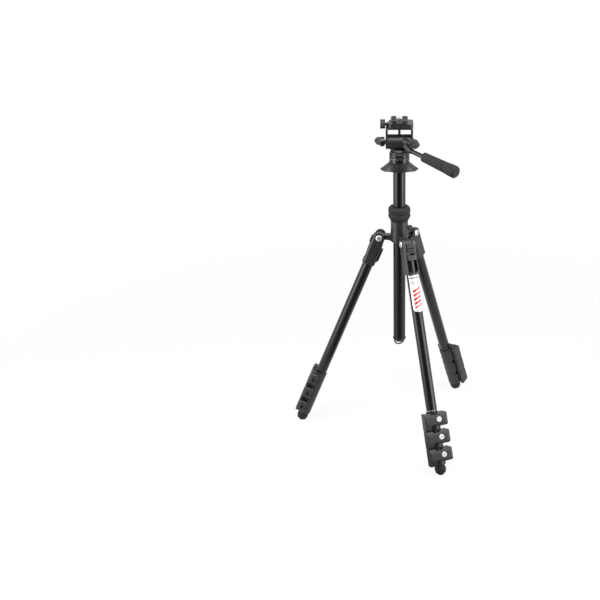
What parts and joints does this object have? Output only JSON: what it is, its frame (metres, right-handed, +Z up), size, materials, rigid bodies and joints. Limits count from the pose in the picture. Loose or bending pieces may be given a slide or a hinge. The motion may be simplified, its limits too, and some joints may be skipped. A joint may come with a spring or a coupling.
{
  "type": "camera tripod with pan head",
  "caption": "Travel tripod with telescoping lever-lock legs, a sliding centre column with a hook, and a pan-and-tilt head with a handle and a quick-release plate.",
  "frame": {"origin": "on the floor under the centre column's axis", "axes": "+Z up along the column, -Y towards the front leg, +X to the right seen from the front"},
  "size_m": [0.4126, 0.3599, 0.6877],
  "materials": {
    "black_anodised_tube": "glossy black anodised",
    "charcoal_casting": "matte charcoal powder coat",
    "charcoal_plastic": "fine-grained moulded",
    "black_rubber": "matte",
    "bright_steel": "bright plated",
    "dark_steel": "black-oxide"
  },
  "bodies": {
    "spider": {"spider": "charcoal_casting", "leg_pivot_bolts": "bright_steel"},
    "column": {"center_column": "black_anodised_tube", "column_end_cap": "charcoal_plastic", "column_top_plate": "charcoal_casting", "pan_base": "charcoal_casting"},
    "column_lock": {"column_lock_collar": "black_rubber"},
    "spider_lock": {"spider_lock_screw": "charcoal_plastic"},
    "hook": {"weight_hook": "dark_steel"},
    "pan": {"pan_turret": "charcoal_casting", "tilt_shaft": "dark_steel"},
    "pan_lock": {"pan_lock_knob": "charcoal_plastic"},
    "tilt": {"tilt_cradle": "charcoal_casting", "quick_release_clamp": "charcoal_casting"},
    "tilt_lock": {"tilt_lock_knob": "charcoal_plastic"},
    "handle": {"handle_rod": "black_anodised_tube", "handle_grip": "black_rubber", "handle_end_cap": "black_rubber"},
    "clamp_lock": {"clamp_knob": "charcoal_plastic"},
    "plate": {"quick_release_plate": "charcoal_plastic"},
    "screw": {"camera_screw": "bright_steel"},
    "front_leg": {"front_leg_casting": "charcoal_casting", "front_leg_tube_1": "black_anodised_tube", "front_lock_collar_1": "charcoal_plastic"},
    "front_section_2": {"front_leg_tube_2": "black_anodised_tube", "front_lock_collar_2": "charcoal_plastic"},
    "front_section_3": {"front_leg_tube_3": "black_anodised_tube", "front_lock_collar_3": "charcoal_plastic"},
    "front_section_4": {"front_leg_tube_4": "black_anodised_tube", "front_foot": "black_rubber"},
    "front_stop": {"front_angle_stop": "charcoal_plastic"},
    "front_lever_1": {"front_lock_lever_1": "charcoal_plastic"},
    "front_lever_2": {"front_lock_lever_2": "charcoal_plastic"},
    "front_lever_3": {"front_lock_lever_3": "charcoal_plastic"},
    "right_leg": {"right_leg_casting": "charcoal_casting", "right_leg_tube_1": "black_anodised_tube", "right_lock_collar_1": "charcoal_plastic"},
    "right_section_2": {"right_leg_tube_2": "black_anodised_tube", "right_lock_collar_2": "charcoal_plastic"},
    "right_section_3": {"right_leg_tube_3": "black_anodised_tube", "right_lock_collar_3": "charcoal_plastic"},
    "right_section_4": {"right_leg_tube_4": "black_anodised_tube", "right_foot": "black_rubber"},
    "right_stop": {"right_angle_stop": "charcoal_plastic"},
    "right_lever_1": {"right_lock_lever_1": "charcoal_plastic"},
    "right_lever_2": {"right_lock_lever_2": "charcoal_plastic"},
    "right_lever_3": {"right_lock_lever_3": "charcoal_plastic"},
    "left_leg": {"left_leg_casting": "charcoal_casting", "left_leg_tube_1": "black_anodised_tube", "left_lock_collar_1": "charcoal_plastic"},
    "left_section_2": {"left_leg_tube_2": "black_anodised_tube", "left_lock_collar_2": "charcoal_plastic"},
    "left_section_3": {"left_leg_tube_3": "black_anodised_tube", "left_lock_collar_3": "charcoal_plastic"},
    "left_section_4": {"left_leg_tube_4": "black_anodised_tube", "left_foot": "black_rubber"},
    "left_stop": {"left_angle_stop": "charcoal_plastic"},
    "left_lever_1": {"left_lock_lever_1": "charcoal_plastic"},
    "left_lever_2": {"left_lock_lever_2": "charcoal_plastic"},
    "left_lever_3": {"left_lock_lever_3": "charcoal_plastic"}
  },
  "joints": [
    {"name": "column_slide", "type": "slide", "parent": "spider", "child": "column", "axis": [0, 0, 1], "range_m": [-0.0723, 0.2125]},
    {"name": "column_lock_twist", "type": "hinge", "parent": "spider", "child": "column_lock", "pos_m": [0, 0, 0.47397], "axis": [0, 0, 1], "range_deg": [0, 120]},
    {"name": "spider_lock_turn", "type": "hinge", "parent": "spider", "child": "spider_lock", "pos_m": [0.01682, -0.00482, 0.45697], "axis": [0.9613, -0.2756, 0], "range_deg": [0, 180]},
    {"name": "hook_swing", "type": "hinge", "parent": "column", "child": "hook", "pos_m": [0, 0, 0.20867], "axis": [1, 0, 0], "range_deg": [-80, 80]},
    {"name": "pan_turn", "type": "hinge", "parent": "column", "child": "pan", "pos_m": [0, 0, 0.61397], "axis": [0, 0, 1], "continuous": true},
    {"name": "pan_lock_turn", "type": "hinge", "parent": "pan", "child": "pan_lock", "pos_m": [-0.01933, 0.0333, 0.62847], "axis": [-0.502, 0.8649, 0], "range_deg": [0, 180]},
    {"name": "tilt_turn", "type": "hinge", "parent": "pan", "child": "tilt", "pos_m": [0, 0, 0.63597], "axis": [0.9214, -0.3886, 0], "range_deg": [-45, 20]},
    {"name": "tilt_lock_turn", "type": "hinge", "parent": "tilt", "child": "tilt_lock", "pos_m": [0.00998, -0.02455, 0.63947], "axis": [0.3767, -0.9263, 0], "range_deg": [0, 180]},
    {"name": "handle_turn", "type": "hinge", "parent": "tilt", "child": "handle", "pos_m": [0.01205, -0.02964, 0.62397], "axis": [0.373, -0.9173, -0.1392], "continuous": true},
    {"name": "clamp_knob_turn", "type": "hinge", "parent": "tilt", "child": "clamp_lock", "pos_m": [-0.02211, 0.00933, 0.67122], "axis": [0.9214, -0.3886, 0], "range_deg": [0, 180]},
    {"name": "plate_slide", "type": "slide", "parent": "tilt", "child": "plate", "axis": [0.3886, 0.9214, 0], "range_m": [-0.012, 0.012]},
    {"name": "camera_screw_turn", "type": "hinge", "parent": "plate", "child": "screw", "pos_m": [0, 0, 0.68267], "axis": [0, 0, 1], "continuous": true},
    {"name": "front_leg_fold", "type": "hinge", "parent": "spider", "child": "front_leg", "pos_m": [0, -0.04, 0.43747], "axis": [1, 0, 0], "range_deg": [0, 22.2]},
    {"name": "front_stop_pull", "type": "slide", "parent": "front_leg", "child": "front_stop", "axis": [0, -0.3778, -0.9259], "range_m": [0, 0.0035], "stiffness_N_per_m": 600, "springref_m": -0.002},
    {"name": "front_section_2_slide", "type": "slide", "parent": "front_leg", "child": "front_section_2", "axis": [0, -0.3778, -0.9259], "range_m": [0, 0.26]},
    {"name": "front_section_3_slide", "type": "slide", "parent": "front_section_2", "child": "front_section_3", "axis": [0, -0.3778, -0.9259], "range_m": [0, 0.26]},
    {"name": "front_section_4_slide", "type": "slide", "parent": "front_section_3", "child": "front_section_4", "axis": [0, -0.3778, -0.9259], "range_m": [0, 0.26]},
    {"name": "front_lever_1_open", "type": "hinge", "parent": "front_leg", "child": "front_lever_1", "pos_m": [0.018, -0.1815, 0.10661], "axis": [0, 0.3778, 0.9259], "range_deg": [0, 110]},
    {"name": "front_lever_2_open", "type": "hinge", "parent": "front_section_2", "child": "front_lever_2", "pos_m": [0.018, -0.1951, 0.07328], "axis": [0, 0.3778, 0.9259], "range_deg": [0, 110]},
    {"name": "front_lever_3_open", "type": "hinge", "parent": "front_section_3", "child": "front_lever_3", "pos_m": [0.018, -0.20871, 0.03995], "axis": [0, 0.3778, 0.9259], "range_deg": [0, 110]},
    {"name": "right_leg_fold", "type": "hinge", "parent": "spider", "child": "right_leg", "pos_m": [0.03464, 0.02, 0.43747], "axis": [-0.5, 0.866, 0], "range_deg": [0, 22.2]},
    {"name": "right_stop_pull", "type": "slide", "parent": "right_leg", "child": "right_stop", "axis": [0.3272, 0.1889, -0.9259], "range_m": [0, 0.0035], "stiffness_N_per_m": 600, "springref_m": -0.002},
    {"name": "right_section_2_slide", "type": "slide", "parent": "right_leg", "child": "right_section_2", "axis": [0.3272, 0.1889, -0.9259], "range_m": [0, 0.26]},
    {"name": "right_section_3_slide", "type": "slide", "parent": "right_section_2", "child": "right_section_3", "axis": [0.3272, 0.1889, -0.9259], "range_m": [0, 0.26]},
    {"name": "right_section_4_slide", "type": "slide", "parent": "right_section_3", "child": "right_section_4", "axis": [0.3272, 0.1889, -0.9259], "range_m": [0, 0.26]},
    {"name": "right_lever_1_open", "type": "hinge", "parent": "right_leg", "child": "right_lever_1", "pos_m": [0.14819, 0.10634, 0.10661], "axis": [-0.3272, -0.1889, 0.9259], "range_deg": [0, 110]},
    {"name": "right_lever_2_open", "type": "hinge", "parent": "right_section_2", "child": "right_lever_2", "pos_m": [0.15997, 0.11314, 0.07328], "axis": [-0.3272, -0.1889, 0.9259], "range_deg": [0, 110]},
    {"name": "right_lever_3_open", "type": "hinge", "parent": "right_section_3", "child": "right_lever_3", "pos_m": [0.17175, 0.11994, 0.03995], "axis": [-0.3272, -0.1889, 0.9259], "range_deg": [0, 110]},
    {"name": "left_leg_fold", "type": "hinge", "parent": "spider", "child": "left_leg", "pos_m": [-0.03464, 0.02, 0.43747], "axis": [-0.5, -0.866, 0], "range_deg": [0, 22.2]},
    {"name": "left_stop_pull", "type": "slide", "parent": "left_leg", "child": "left_stop", "axis": [-0.3272, 0.1889, -0.9259], "range_m": [0, 0.0035], "stiffness_N_per_m": 600, "springref_m": -0.002},
    {"name": "left_section_2_slide", "type": "slide", "parent": "left_leg", "child": "left_section_2", "axis": [-0.3272, 0.1889, -0.9259], "range_m": [0, 0.26]},
    {"name": "left_section_3_slide", "type": "slide", "parent": "left_section_2", "child": "left_section_3", "axis": [-0.3272, 0.1889, -0.9259], "range_m": [0, 0.26]},
    {"name": "left_section_4_slide", "type": "slide", "parent": "left_section_3", "child": "left_section_4", "axis": [-0.3272, 0.1889, -0.9259], "range_m": [0, 0.26]},
    {"name": "left_lever_1_open", "type": "hinge", "parent": "left_leg", "child": "left_lever_1", "pos_m": [-0.16619, 0.07516, 0.10661], "axis": [0.3272, -0.1889, 0.9259], "range_deg": [0, 110]},
    {"name": "left_lever_2_open", "type": "hinge", "parent": "left_section_2", "child": "left_lever_2", "pos_m": [-0.17797, 0.08196, 0.07328], "axis": [0.3272, -0.1889, 0.9259], "range_deg": [0, 110]},
    {"name": "left_lever_3_open", "type": "hinge", "parent": "left_section_3", "child": "left_lever_3", "pos_m": [-0.18975, 0.08876, 0.03995], "axis": [0.3272, -0.1889, 0.9259], "range_deg": [0, 110]}
  ]
}
